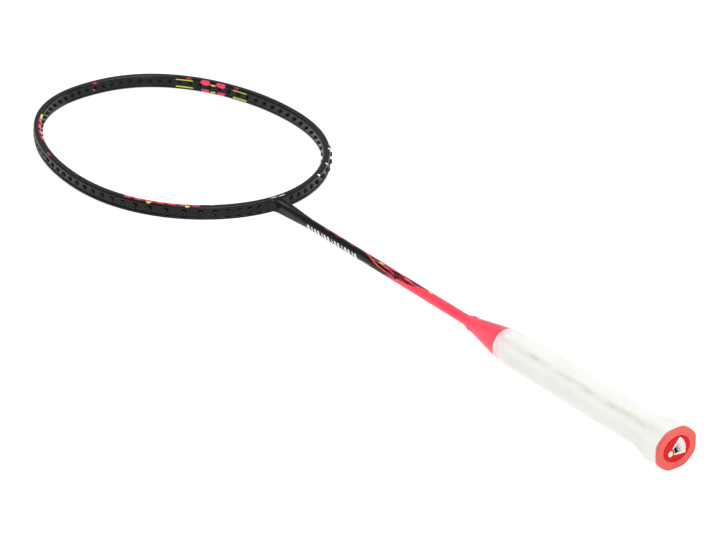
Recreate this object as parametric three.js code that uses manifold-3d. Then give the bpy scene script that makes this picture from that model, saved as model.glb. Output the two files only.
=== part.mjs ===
// An unstrung badminton racket: a hollow carbon head frame with its throat moulded on, a carbon shaft,
// a cone, a wooden handle core, a butt cap with an inlaid badge, a wound grip, and nylon grommets.
//
// Axes: +Y runs from the butt to the crown of the head, X across the string plane, Z out of it.
// The origin is the centre of the butt's end face. Lengths are in millimetres.

import * as THREE from "three";
import { mergeVertices } from "three/addons/utils/BufferGeometryUtils.js";
import Module from "manifold-3d";

const wasm = await Module();
wasm.setup();

// ---------------------------------------------------------------- driving dimensions

const LENGTH = 675; // butt face to the outside of the crown
const GAP = 0.3; // clearance between two pieces that are pushed or glued together

const HEAD_LENGTH = 252.2; // outside, throat to crown
const HEAD_WIDTH = 194.4; // outside, at the middle of the head
const HEAD_ROUNDNESS = 2.077; // power of the superellipse: 2 is an ellipse, more is squarer
const CROWN_ROUNDNESS = 0.129; // added to the power at the crown, taken off it at the throat
const HEAD_TAPER = -0.057; // below 0 the head is narrower above its middle

const FRAME_WIDTH = 5.6; // of the hollow section, in the string plane
const FRAME_HEIGHT = 9.7; // of the same section, across the string plane
const FRAME_CHAMFER = 1.25;
const FRAME_WALL = 1;
const GROOVE_DEPTH = 0.9; // the groove round the outside that the grommet heads lie in
const GROOVE_HALF_HEIGHT = 2.3;
const GROOVE_SLOPE = 0.45;

const THROAT_LENGTH = 38.3; // from the head down to the end of the moulded stem
const THROAT_SPREAD = 1.05; // how much wider than the shaft the stem is at its fillets, each side
const THROAT_SET_BACK = 0.35; // how far the stem's top stays below the frame's, there
const THROAT_FILLET = 5.5;

const SHAFT_RADIUS = 3.55;
const SHAFT_WALL = 1.15;
const SHAFT_DEPTH = 112; // how far it goes into the handle, from the handle core's nose
const SPIGOT_LENGTH = 25.5; // the shaft's slimmer end, inside the stem
const SPIGOT_STEP = 0.85; // how much slimmer it is, each side
const SPIGOT_WALL = 0.8; // round the T insert's pin

const INSERT_ARM = 9; // the T insert's reach each way along the frame, inside it
const INSERT_HALF_HEIGHT = 2;
const ARM_MARGIN = 1.1; // the arms' seat is worked out this much further round than their ends
const INSERT_DEPTH = 22; // how far the pin goes into the spigot

const GRIP_LENGTH = 161;
const GRIP_HALF_WIDTH = 12.4; // to the wide grip's side flats
const GRIP_THICKNESS = 1.6;
const GRIP_END_THICKNESS = 0.7;
const GRIP_END_DROP = 0.9; // how much slimmer the grip is at its end, each side
const GRIP_END_TAPER = 11; // length of the taper onto the cone
const GRIP_START = 2;
const FLARE_RISE = 4.1; // how far the butt's flare stands out of the grip
const FLARE_TOP = 7; // distance from the butt face to the flare's widest place
const FLARE_LENGTH = 23; // from there to the straight grip
const FLARE_FACE_SHARE = 0.35; // how far round its curve the flare turns in at the face
const TAPE_LENGTH = 5.5;
const TAPE_THICKNESS = 0.4;

const FLAT_B = 0.887; // distance to the top and bottom flats, as a share of the half width
const FLAT_D = 0.968; // distance to the four slanted flats, likewise
const SLANT = THREE.MathUtils.degToRad(41); // the slanted flats' direction, from +Z

const CORE_CLEARANCE = 0.4; // between the core's flats and the wound grip
const CORE_SHOULDER = 7; // the core's shoulder lies this far past the start of the grip's taper
const CORE_NOSE_LENGTH = 30;
const CORE_NOSE_FIT = 0.96; // the nose's size as a share of the cone's hollow
const CONE_REACH = 45; // the cone's tip stands this far past the grip's end
const CONE_LIP = 0.3; // wall of the cone at its tip
const CONE_LENGTH = 60; // from its tip to where its flank would reach its full radius
const CONE_CURVE = 1.25; // power of the sine that shapes the flank
const CONE_SWELL = 1.75; // the flank's full radius, over the seat's under the grip and the tape
const CONE_WALL = 1.3;
const CONE_SOCKET = 10; // length of the plain bore at the tip

const CAP_PLATE = 3;
const CAP_SKIRT_SHARE = 0.65; // how far up the flare the cap's skirt goes
const CAP_EDGE = 0.8;
const BADGE_HALF_WIDTH = 10.25;
const BADGE_HALF_HEIGHT = 8.5;
const BADGE_THICKNESS = 1.2;

const MAIN_PITCH = 7.2; // between string holes at the crown and at the throat
const CROSS_PITCH = 9.2; // between string holes at the sides
const CORNER_EXTRA = 4.8; // added to the pitch at the head's lower corners
const CORNER = THREE.MathUtils.degToRad(-48); // the lower corner's place round the head
const CORNER_REACH = THREE.MathUtils.degToRad(16); // how far to each side the wider pitch goes
const FIRST_HOLE = 13.4; // from the middle of the throat
const HOLE_RADIUS = 1.55;
const TUBE_RADIUS = 1.25;
const BORE_RADIUS = 0.75;
const FLANGE_RADIUS = 1.9;
const TUBE_PROUD = 1.2; // how far a tube stands out of the frame's inside
const HEAD_PROUD = 0.35; // how far most grommet heads stand out of the frame's outside
const TALL_HEAD_PROUD = 1.4; // the same for the tall ones beside the throat
const STRIP_HALF_HEIGHT = 1.5;
const TWINS = 2; // pairs of holes beside the throat that share a grommet, on each side
const SINGLES = 16; // single grommets on each side, above the twins
const TALL_SINGLES = 6; // how many of them have a tall head
const STRIP_HOLES = 6; // holes in a crown strip

const RIM_STEPS = 76;
const ROUND_SIDES = 24;
const SHAFT_SIDES = 16;
const GROMMET_SIDES = 6;

// ---------------------------------------------------------------- worked out from them

const HEAD_CENTRE_Y = LENGTH - HEAD_LENGTH / 2;
const THROAT_Y = LENGTH - HEAD_LENGTH;
const STEM_END_Y = THROAT_Y - THROAT_LENGTH;
const SPIGOT_END_Y = STEM_END_Y - GAP + SPIGOT_LENGTH;
const THROAT_HALF_WIDTH = SHAFT_RADIUS + THROAT_SPREAD;
const THROAT_HALF_HEIGHT = FRAME_HEIGHT / 2 - THROAT_SET_BACK;
const SPIGOT_RADIUS = SHAFT_RADIUS - SPIGOT_STEP;
const INSERT_RADIUS = SPIGOT_RADIUS - SPIGOT_WALL - GAP;
const HALF_WALL = FRAME_WIDTH / 2;
const GROOVE_FLOOR = HALF_WALL - GROOVE_DEPTH;
const CAVITY_OUT = GROOVE_FLOOR - FRAME_WALL;
const CAVITY_IN = -HALF_WALL + FRAME_WALL;
const GRIP_END_HALF_WIDTH = GRIP_HALF_WIDTH - GRIP_END_DROP;
const TAPER_START_Y = GRIP_LENGTH - GRIP_END_TAPER;
const CORE_HALF_WIDTH = GRIP_HALF_WIDTH - GRIP_THICKNESS - CORE_CLEARANCE;
const CORE_SHOULDER_Y = TAPER_START_Y + CORE_SHOULDER;
const CORE_NOSE_Y = CORE_SHOULDER_Y + CORE_NOSE_LENGTH;
const CONE_TIP_Y = GRIP_LENGTH + CONE_REACH;
const CONE_TIP_RADIUS = SHAFT_RADIUS + GAP + CONE_LIP;
const CONE_SEAT_RADIUS = GRIP_END_HALF_WIDTH - GRIP_END_THICKNESS - 2 * GAP;
const CONE_FLANK_Y = GRIP_LENGTH + TAPE_LENGTH + 2 * GAP;
const CAP_SKIRT = FLARE_TOP + CAP_SKIRT_SHARE * FLARE_LENGTH;
const UP = new THREE.Vector3(0, 1, 0);

// ---------------------------------------------------------------- solids and cuts

// A closed three.js geometry as a manifold-3d solid.
function solid(geometry) {
  const bare = geometry.clone();
  bare.deleteAttribute("normal");
  bare.deleteAttribute("uv");
  const merged = mergeVertices(bare, 1e-4);
  const vertProperties = merged.attributes.position.array;
  const triVerts = new Uint32Array(merged.index.array);
  return new wasm.Manifold(new wasm.Mesh({ numProp: 3, vertProperties, triVerts }));
}

// The same, back again.
function geometryOf(body) {
  const { vertProperties, triVerts } = body.getMesh();
  const geometry = new THREE.BufferGeometry();
  geometry.setAttribute("position", new THREE.BufferAttribute(vertProperties, 3));
  geometry.setIndex(new THREE.BufferAttribute(triVerts, 1));
  geometry.computeVertexNormals();
  return geometry;
}

// A body turned about Y from [radius, y] points that close on themselves.
function turned(points, sides) {
  const profile = [...points, points[0]].map(([r, y]) => new THREE.Vector2(r, y));
  return new THREE.LatheGeometry(profile, sides);
}

// A round bar along Y.
function bar(radius, fromY, toY, sides) {
  const middle = (fromY + toY) / 2;
  return new THREE.CylinderGeometry(radius, radius, toY - fromY, sides).translate(0, middle, 0);
}

// A solid along Y whose outline at each height y is sectionAt(y, phi) = [x, z].
function lofted(heights, sides, sectionAt) {
  const last = heights.length - 1;
  const rows = [[0, 0], ...heights.map((y, i) => [1, i]), [0, last]];
  const profile = rows.map(([r, i]) => new THREE.Vector2(r, i));
  const geometry = new THREE.LatheGeometry(profile, sides);
  const position = geometry.attributes.position;
  for (let v = 0; v < position.count; v++) {
    const y = heights[Math.round(position.getY(v))];
    const onAxis = Math.hypot(position.getX(v), position.getZ(v)) < 0.5;
    const [x, z] = onAxis ? [0, 0] : sectionAt(y, Math.atan2(position.getX(v), position.getZ(v)));
    position.setXYZ(v, x, y, z);
  }
  return geometry;
}

// Equally spaced values, ends included.
function steps(from, to, count) {
  return Array.from({ length: count + 1 }, (_, i) => from + ((to - from) * i) / count);
}

// ---------------------------------------------------------------- the head frame

// The outside of the head at parameter t: 0 is the +X side, pi/2 the crown, -pi/2 the throat.
function outline(t) {
  const power = 2 / (HEAD_ROUNDNESS + CROWN_ROUNDNESS * Math.sin(t));
  const raised = (v) => Math.sign(v) * Math.abs(v) ** power;
  const x = (HEAD_WIDTH / 2) * raised(Math.cos(t)) * (1 + HEAD_TAPER * Math.sin(t));
  return new THREE.Vector2(x, HEAD_CENTRE_Y + (HEAD_LENGTH / 2) * raised(Math.sin(t)));
}

// The outward normal of the outline there.
function outward(t) {
  const along = outline(t + 0.01).sub(outline(t - 0.01)).normalize();
  return new THREE.Vector2(along.y, -along.x);
}

// A point of the rim: u is the distance out from the middle of its section.
function rimPoint(t, u) {
  return outline(t).addScaledVector(outward(t), u - HALF_WALL);
}

// A ring round the rim with the closed section [u, z]: a turned ring, moved from its circle to the rim.
function rimRing(section) {
  const circle = HEAD_WIDTH;
  const ring = turned(section.map(([u, z]) => [circle + u, z]), RIM_STEPS);
  const position = ring.attributes.position;
  for (let v = 0; v < position.count; v++) {
    const t = Math.atan2(position.getX(v), position.getZ(v));
    const u = Math.hypot(position.getX(v), position.getZ(v)) - circle;
    const point = rimPoint(t, u);
    position.setXYZ(v, point.x, point.y, position.getY(v));
  }
  return solid(ring);
}

function frameSection() {
  const top = FRAME_HEIGHT / 2;
  const edge = top - FRAME_CHAMFER;
  const lip = HALF_WALL - FRAME_CHAMFER;
  const floor = GROOVE_HALF_HEIGHT - GROOVE_SLOPE;
  return [
    [HALF_WALL, -edge],
    [HALF_WALL, -GROOVE_HALF_HEIGHT],
    [GROOVE_FLOOR, -floor],
    [GROOVE_FLOOR, floor],
    [HALF_WALL, GROOVE_HALF_HEIGHT],
    [HALF_WALL, edge],
    [lip, top],
    [-lip, top],
    [-HALF_WALL, edge],
    [-HALF_WALL, -edge],
    [-lip, -top],
    [lip, -top],
  ];
}

function cavitySection() {
  const top = FRAME_HEIGHT / 2 - FRAME_WALL;
  const edge = top - FRAME_CHAMFER;
  const middle = (CAVITY_OUT + CAVITY_IN) / 2;
  return [
    [CAVITY_OUT, -edge],
    [CAVITY_OUT, edge],
    [middle, top],
    [CAVITY_IN, edge],
    [CAVITY_IN, -edge],
    [middle, -top],
  ];
}

// Half the stem's width: a slow taper from the shaft, then a fillet out to the frame.
function stemHalfWidth(y) {
  const along = (y - STEM_END_Y) / THROAT_LENGTH;
  const plain = THREE.MathUtils.lerp(SHAFT_RADIUS, THROAT_HALF_WIDTH, along);
  const into = THROAT_FILLET - Math.max(0, THROAT_Y - y);
  if (into <= 0) return plain;
  return plain + THROAT_FILLET - Math.sqrt(THROAT_FILLET ** 2 - into ** 2);
}

function stemHalfHeight(y) {
  const along = Math.min(1, (y - STEM_END_Y) / THROAT_LENGTH);
  return THREE.MathUtils.lerp(SHAFT_RADIUS, THROAT_HALF_HEIGHT, along);
}

// The stem's section goes from round at the shaft to nearly square at the frame.
function stemSection(y, phi) {
  const along = Math.min(1, (y - STEM_END_Y) / THROAT_LENGTH);
  const power = 2 / THREE.MathUtils.lerp(2, 4, along);
  const raised = (v) => Math.sign(v) * Math.abs(v) ** power;
  return [stemHalfWidth(y) * raised(Math.sin(phi)), stemHalfHeight(y) * raised(Math.cos(phi))];
}

function throatStem() {
  const fillet = [0, 0.3, 0.55, 0.8, 0.95].map((s) => THROAT_Y - THROAT_FILLET * (1 - s));
  const root = THROAT_Y + FRAME_WALL; // inside the frame's wall
  const heights = [...steps(STEM_END_Y, THROAT_Y - THROAT_FILLET, 4).slice(0, -1), ...fillet, root];
  return solid(lofted(heights, ROUND_SIDES, stemSection));
}

function headFrame(holes) {
  const socketRadius = SPIGOT_RADIUS + GAP;
  const socketEnd = SPIGOT_END_Y + GAP;
  const frame = rimRing(frameSection())
    .add(throatStem())
    .subtract(rimRing(cavitySection()))
    .subtract(solid(bar(socketRadius, STEM_END_Y - 1, socketEnd, SHAFT_SIDES)))
    .subtract(solid(bar(INSERT_RADIUS + GAP, socketEnd - 1, THROAT_Y + HALF_WALL, SHAFT_SIDES)));
  const cut = bar(HOLE_RADIUS, -FRAME_WIDTH, FRAME_WIDTH, GROMMET_SIDES);
  return geometryOf(holes.reduce((body, t) => body.subtract(solid(onRim(cut, t))), frame));
}

// ---------------------------------------------------------------- the string holes and grommets

// Moves a geometry made round the origin to the middle of the rim at t, with its +Y pointing out.
function onRim(geometry, t) {
  const normal = outward(t);
  const centre = rimPoint(t, 0);
  const turn = new THREE.Quaternion().setFromUnitVectors(UP, new THREE.Vector3(normal.x, normal.y, 0));
  return geometry.clone().applyQuaternion(turn).translate(centre.x, centre.y, 0);
}

// The distance between string holes at t: wider towards the sides, and widest at the lower corners.
function holePitch(t) {
  const corner = Math.exp(-(((t - CORNER) / CORNER_REACH) ** 2));
  return THREE.MathUtils.lerp(MAIN_PITCH, CROSS_PITCH, Math.cos(t) ** 2) + CORNER_EXTRA * corner;
}

// The parameters of the holes on the +X side, from the throat to the crown. No hole lies nearer to the
// crown's middle than half a pitch.
function holesOnOneSide() {
  const samples = steps(-Math.PI / 2, Math.PI / 2, 2000);
  const rows = [];
  let arc = 0;
  let pitches = 0;
  samples.slice(1).forEach((t, i) => {
    const step = rimPoint(t, 0).distanceTo(rimPoint(samples[i], 0));
    arc += step;
    if (arc < FIRST_HOLE || rimPoint(t, 0).x < MAIN_PITCH / 2) return;
    pitches += step / holePitch(t);
    rows.push({ t, pitches });
  });
  const gaps = Math.round(pitches);
  return steps(0, pitches, gaps).map((at) => rows.find((row) => row.pitches >= at - 1e-9).t);
}

// One grommet: a tube through both walls with a flange in the outside groove.
function grommetTube(proud) {
  const seat = GROOVE_FLOOR + GAP;
  const head = HALF_WALL + proud;
  const inside = -HALF_WALL - TUBE_PROUD;
  return turned(
    [
      [BORE_RADIUS, inside],
      [TUBE_RADIUS, inside],
      [TUBE_RADIUS, seat],
      [FLANGE_RADIUS, seat],
      [FLANGE_RADIUS - GAP, head],
      [BORE_RADIUS, head],
    ],
    GROMMET_SIDES,
  );
}

// The web of a strip between two holes: it lies on the groove's floor, clear of both bores.
function grommetWeb(t, next) {
  const base = GROOVE_FLOOR + GAP;
  const thickness = HALF_WALL - base;
  const from = rimPoint(t, base + thickness / 2);
  const to = rimPoint(next, base + thickness / 2);
  const length = from.distanceTo(to) - 2 * (BORE_RADIUS + GAP);
  const angle = Math.atan2(to.y - from.y, to.x - from.x);
  return new THREE.BoxGeometry(length, thickness, 2 * STRIP_HALF_HEIGHT)
    .rotateZ(angle)
    .translate((from.x + to.x) / 2, (from.y + to.y) / 2, 0);
}

function grommet(group, proud) {
  const tubes = group.map((t) => solid(onRim(grommetTube(proud), t)));
  const webs = group.slice(1).map((t, i) => solid(grommetWeb(group[i], t)));
  return geometryOf([...tubes, ...webs].reduce((body, piece) => body.add(piece)));
}

// The holes of one side in their groups: twins, then singles, then strips.
function grommetGroups(holes) {
  const groups = [];
  const take = (name, count, size, proud) => {
    for (let i = 0; i < count && holes.length; i++) {
      const number = String(i + 1).padStart(2, "0");
      groups.push({ name: `${name}_${number}`, proud, holes: holes.slice(0, size) });
      holes = holes.slice(size);
    }
  };
  take("twin_grommet", TWINS, 2, HEAD_PROUD);
  take("tall_grommet", TALL_SINGLES, 1, TALL_HEAD_PROUD);
  take("side_grommet", SINGLES - TALL_SINGLES, 1, HEAD_PROUD);
  take("crown_strip", holes.length, STRIP_HOLES, HEAD_PROUD);
  return groups;
}

// ---------------------------------------------------------------- shaft and throat insert

function shaft() {
  const from = CORE_NOSE_Y - SHAFT_DEPTH;
  const shoulder = STEM_END_Y - GAP;
  const pinBore = INSERT_RADIUS + GAP;
  const boreStep = shoulder - SHAFT_RADIUS;
  return turned(
    [
      [SHAFT_RADIUS - SHAFT_WALL, from],
      [SHAFT_RADIUS, from],
      [SHAFT_RADIUS, shoulder],
      [SPIGOT_RADIUS, shoulder],
      [SPIGOT_RADIUS, SPIGOT_END_Y],
      [pinBore, SPIGOT_END_Y],
      [pinBore, boreStep],
    ],
    SHAFT_SIDES,
  );
}

// The T insert: a pin in the shaft's bore and a crossbar in the frame's hollow.
function throatInsert() {
  const armEnd = -Math.PI / 2 + Math.asin(INSERT_ARM / (HEAD_WIDTH / 2 - FRAME_WIDTH)) * ARM_MARGIN;
  const low = rimPoint(armEnd, CAVITY_OUT).y + GAP;
  const high = rimPoint(-Math.PI / 2, CAVITY_IN).y - GAP;
  const arms = new THREE.BoxGeometry(2 * INSERT_ARM, high - low, 2 * INSERT_HALF_HEIGHT);
  const crossbar = solid(arms.translate(0, (high + low) / 2, 0));
  const pin = solid(bar(INSERT_RADIUS, SPIGOT_END_Y - INSERT_DEPTH, (high + low) / 2, SHAFT_SIDES));
  return geometryOf(crossbar.add(pin));
}

// ---------------------------------------------------------------- handle

// Half the width over the wound grip at height y: flared at the butt, straight, then tapered onto the cone.
function gripHalfWidth(y) {
  const below = (FLARE_FACE_SHARE * (FLARE_TOP - y)) / FLARE_TOP;
  const above = (y - FLARE_TOP) / FLARE_LENGTH;
  const aside = y < FLARE_TOP ? below : Math.min(1, above);
  const flare = FLARE_RISE * Math.cos((Math.PI / 2) * aside) ** 2;
  const taper = Math.max(0, (y - TAPER_START_Y) / GRIP_END_TAPER);
  const drop = GRIP_END_DROP * (1 - Math.cos((Math.PI / 2) * taper));
  return GRIP_HALF_WIDTH + flare - drop;
}

function gripThickness(y) {
  const taper = Math.max(0, (y - TAPER_START_Y) / GRIP_END_TAPER);
  return THREE.MathUtils.lerp(GRIP_THICKNESS, GRIP_END_THICKNESS, taper);
}

// The handle's octagon, rounding to a circle where the grip tapers onto the cone.
function handleSection(halfWidth, y, phi) {
  const flats = [
    [0, FLAT_B],
    [SLANT, FLAT_D],
    [Math.PI / 2, 1],
  ];
  const folded = Math.acos(Math.min(1, Math.abs(Math.cos(phi)))); // the same angle, in the first quarter
  const octagon = Math.min(...flats.map(([at, d]) => d / Math.cos(folded - at)).filter((r) => r > 0));
  const round = THREE.MathUtils.smoothstep(y, TAPER_START_Y, GRIP_LENGTH);
  const radius = halfWidth * THREE.MathUtils.lerp(octagon, 1, round);
  return [radius * Math.sin(phi), radius * Math.cos(phi)];
}

// A solid of the handle's octagon, with its half width at each height from a function.
function handleSolid(heights, halfWidthAt) {
  return solid(lofted(heights, ROUND_SIDES, (y, phi) => handleSection(halfWidthAt(y), y, phi)));
}

function gripWrap() {
  const flareEnd = FLARE_TOP + FLARE_LENGTH;
  const heights = [...steps(GRIP_START, flareEnd, 7), ...steps(TAPER_START_Y, GRIP_LENGTH, 4)];
  const past = (list) => [list[0] - 1, ...list, list.at(-1) + 1];
  const clamped = (y) => THREE.MathUtils.clamp(y, GRIP_START, GRIP_LENGTH);
  const inside = (y) => gripHalfWidth(clamped(y)) - gripThickness(clamped(y));
  return geometryOf(handleSolid(heights, gripHalfWidth).subtract(handleSolid(past(heights), inside)));
}

function handleCore() {
  const from = CAP_PLATE + GAP;
  const body = handleSolid([from, TAPER_START_Y, CORE_SHOULDER_Y], () => CORE_HALF_WIDTH);
  const noseRadius = (y) => (coneRadius(y) - CONE_WALL - GAP) * CORE_NOSE_FIT;
  const nose = handleSolid(steps(CORE_SHOULDER_Y - 1, CORE_NOSE_Y, 4), noseRadius);
  const boreEnd = CORE_NOSE_Y - SHAFT_DEPTH - GAP;
  const bore = bar(SHAFT_RADIUS + GAP, boreEnd, CORE_NOSE_Y + 1, SHAFT_SIDES);
  return geometryOf(body.add(nose).subtract(solid(bore)));
}

function buttCap() {
  const under = (y) => gripHalfWidth(y) - GRIP_THICKNESS - GAP;
  const rimEnd = GRIP_START - GAP;
  const face = gripHalfWidth(0);
  const plate = handleSolid([0, CAP_EDGE, rimEnd], (y) => (y === 0 ? face - CAP_EDGE / 2 : face));
  const skirt = handleSolid(steps(rimEnd - CAP_EDGE, CAP_SKIRT, 5), under);
  const socket = handleSolid([CAP_PLATE, CAP_SKIRT + 1], () => CORE_HALF_WIDTH + GAP);
  const recess = badgeDisc(GAP, -1, BADGE_THICKNESS + GAP);
  return geometryOf(plate.add(skirt).subtract(socket).subtract(solid(recess)));
}

// An oval disc across Y, wider than the badge by a margin.
function badgeDisc(margin, fromY, toY) {
  const disc = bar(1, fromY, toY, ROUND_SIDES);
  return disc.scale(BADGE_HALF_WIDTH + margin, 1, BADGE_HALF_HEIGHT + margin);
}

// The cone's outside radius at height y: a plain seat under the grip and the tape, then its flank.
function coneRadius(y) {
  if (y < CONE_FLANK_Y) return CONE_SEAT_RADIUS;
  const along = THREE.MathUtils.clamp((CONE_TIP_Y - y) / CONE_LENGTH, 0, 1);
  const rise = CONE_SEAT_RADIUS + CONE_SWELL - CONE_TIP_RADIUS;
  return CONE_TIP_RADIUS + rise * Math.sin((Math.PI / 2) * along) ** CONE_CURVE;
}

function coneCap() {
  const base = CORE_SHOULDER_Y + GAP;
  const bore = SHAFT_RADIUS + GAP;
  const flank = steps(CONE_FLANK_Y, CONE_TIP_Y, 7).map((y) => [coneRadius(y), y]);
  const inside = steps(CONE_FLANK_Y, CONE_TIP_Y - CONE_SOCKET, 4).reverse();
  const wall = inside.map((y) => [Math.max(bore, coneRadius(y) - CONE_WALL), y]);
  const seat = [[CONE_SEAT_RADIUS, base], [CONE_SEAT_RADIUS, CONE_FLANK_Y]];
  const seatWall = seat.map(([r, y]) => [r - CONE_WALL, y]).reverse();
  return turned([...seat, ...flank, [bore, CONE_TIP_Y], ...wall, ...seatWall], ROUND_SIDES);
}

// The finishing tape: a thin band on the cone at the grip's end.
function gripTape() {
  const from = GRIP_LENGTH + GAP;
  const rows = steps(from, from + TAPE_LENGTH, 2);
  const inside = rows.map((y) => [coneRadius(y) + GAP, y]).reverse();
  const outside = rows.map((y) => [coneRadius(y) + GAP + TAPE_THICKNESS, y]);
  return turned([...outside, ...inside], ROUND_SIDES);
}

// ---------------------------------------------------------------- the racket

const finish = {
  carbon: { color: 0x26282a, roughness: 0.28, metalness: 0.1 },
  coral: { color: 0xff5468, roughness: 0.3, metalness: 0 },
  cap: { color: 0xf0696a, roughness: 0.45, metalness: 0 },
  badge: { color: 0xe3241f, roughness: 0.3, metalness: 0 },
  grip: { color: 0xf2f2ec, roughness: 0.7, metalness: 0 },
  tape: { color: 0xf7dfe2, roughness: 0.35, metalness: 0 },
  wood: { color: 0xcaa26b, roughness: 0.8, metalness: 0 },
  nylon: { color: 0x111112, roughness: 0.5, metalness: 0 },
};

const racket = new THREE.Group();

function add(name, geometry, look) {
  const mesh = new THREE.Mesh(geometry, new THREE.MeshStandardMaterial(finish[look]));
  mesh.name = name;
  racket.add(mesh);
}

const rightHoles = holesOnOneSide();
const mirrored = (t) => Math.PI - t;

add("head_frame", headFrame([...rightHoles, ...rightHoles.map(mirrored)]), "carbon");
add("throat_insert", throatInsert(), "carbon");
add("shaft", shaft(), "carbon");
add("cone_cap", coneCap(), "coral");
add("handle_core", handleCore(), "wood");
add("butt_cap", buttCap(), "cap");
add("butt_badge", badgeDisc(0, 0, BADGE_THICKNESS), "badge");
add("grip_wrap", gripWrap(), "grip");
add("grip_tape", gripTape(), "tape");

for (const { name, proud, holes } of grommetGroups(rightHoles)) {
  add(`${name}_right`, grommet(holes, proud), "nylon");
  add(`${name}_left`, grommet(holes.map(mirrored), proud), "nylon");
}

export default racket;
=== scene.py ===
# %% [markdown]
# # An unstrung badminton racket
# The racket arrives as a finished engineering model: every piece has its real size and place.
# This lesson gives it its looks. The seen pieces are modelled again with more detail and take the
# places of the plain ones, and each finish is built from nodes. Lengths are in millimetres in the
# text and in metres in Blender, with +Y from the butt to the crown and +Z out of the string plane.

# %% Load the frame
import math

import bpy
import numpy as np
from mathutils import Matrix, Vector, kdtree


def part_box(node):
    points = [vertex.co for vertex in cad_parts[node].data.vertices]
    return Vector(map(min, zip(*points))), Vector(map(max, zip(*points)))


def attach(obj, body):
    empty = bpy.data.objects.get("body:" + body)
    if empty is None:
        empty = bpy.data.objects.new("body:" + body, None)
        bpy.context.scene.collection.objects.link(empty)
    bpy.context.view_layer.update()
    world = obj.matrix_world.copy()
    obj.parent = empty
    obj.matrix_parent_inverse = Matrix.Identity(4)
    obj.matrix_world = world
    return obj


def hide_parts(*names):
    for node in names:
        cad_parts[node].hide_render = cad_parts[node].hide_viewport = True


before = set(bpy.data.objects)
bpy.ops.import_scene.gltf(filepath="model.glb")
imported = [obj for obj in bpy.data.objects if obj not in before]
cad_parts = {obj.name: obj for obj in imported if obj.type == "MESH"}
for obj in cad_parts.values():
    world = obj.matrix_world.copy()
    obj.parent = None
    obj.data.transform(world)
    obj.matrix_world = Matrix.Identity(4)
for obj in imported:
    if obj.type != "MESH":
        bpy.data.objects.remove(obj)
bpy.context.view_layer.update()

MM = 0.001

# %% [markdown]
# ## The view
# A racket is long and thin, so it is looked at along its length from the butt's side, from a little
# above. A long lens far away keeps the head from shrinking too much. The camera goes straight back
# from a target on the shaft.

# %% The camera
CAMERA_TARGET = Vector((-17.19, 306.63, 0.31)) * MM
CAMERA_AZIMUTH = math.radians(-36.01)
CAMERA_ELEVATION = math.radians(26.85)
CAMERA_DISTANCE = 2.15
back = Vector((
    math.sin(CAMERA_AZIMUTH) * math.cos(CAMERA_ELEVATION),
    -math.cos(CAMERA_AZIMUTH) * math.cos(CAMERA_ELEVATION),
    math.sin(CAMERA_ELEVATION),
))
bpy.ops.object.camera_add(location=CAMERA_TARGET + back * CAMERA_DISTANCE)
camera = bpy.context.object
camera.rotation_euler = back.to_track_quat("Z", "Y").to_euler()
camera.data.lens = 162
camera.data.sensor_width = 36
bpy.context.scene.camera = camera
print("camera at", [round(c, 3) for c in camera.location])

# %% [markdown]
# ## Small helpers
# Colours are given as sRGB hex values, but the renderer works in linear light, so one
# function converts them. Another adds a node with its settings and links, which keeps the finishes
# short. Operators act on all that is selected, so a third clears the selection and takes one piece.

# %% Colours and nodes
def linear(hex_colour):
    """An sRGB hex colour as linear RGBA."""
    shares = [int(hex_colour[i:i + 2], 16) / 255 for i in (0, 2, 4)]
    return tuple(c / 12.92 if c <= 0.04045 else ((c + 0.055) / 1.055) ** 2.4 for c in shares) + (1.0,)


def add_node(material, kind, inputs=(), **settings):
    """Adds a shader node. Inputs that are sockets are linked, and the rest are set."""
    node = material.node_tree.nodes.new("ShaderNode" + kind)
    for name, value in settings.items():
        setattr(node, name, value)
    for name, value in dict(inputs).items():
        if isinstance(value, bpy.types.NodeSocket):
            material.node_tree.links.new(value, node.inputs[name])
        else:
            node.inputs[name].default_value = value
    return node


def new_finish(name, **values):
    """A material with the shader's own sockets set, such as roughness=0.4 or coat_weight=1."""
    material = bpy.data.materials.new(name)
    material.use_nodes = True
    shader = material.node_tree.nodes["Principled BSDF"]
    for key, value in values.items():
        shader.inputs[key.replace("_", " ").title().replace("Ior", "IOR")].default_value = value
    return material, shader


def feed(material, shader, **sockets):
    """Links pattern sockets to the shader's inputs."""
    for key, socket in sockets.items():
        material.node_tree.links.new(socket, shader.inputs[key.replace("_", " ").title()])


print("mid grey in linear light:", [round(c, 3) for c in linear("808080")])

# %% Taking a piece in hand
def take(piece=None):
    """Deselects everything and makes one piece the active one."""
    if bpy.context.object and bpy.context.object.mode != "OBJECT":
        bpy.ops.object.mode_set(mode="OBJECT")
    bpy.ops.object.select_all(action="DESELECT")
    if piece:
        piece.select_set(True)
        bpy.context.view_layer.objects.active = piece


def corners_mm(piece):
    """The piece's points as an array, in millimetres."""
    points = np.empty(len(piece.data.vertices) * 3)
    piece.data.vertices.foreach_get("co", points)
    return points.reshape(-1, 3) / MM


def move_corners(piece, points):
    """Puts the piece's points at these places, in millimetres."""
    piece.data.vertices.foreach_set("co", (np.asarray(points) * MM).ravel())
    piece.data.update()


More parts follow.
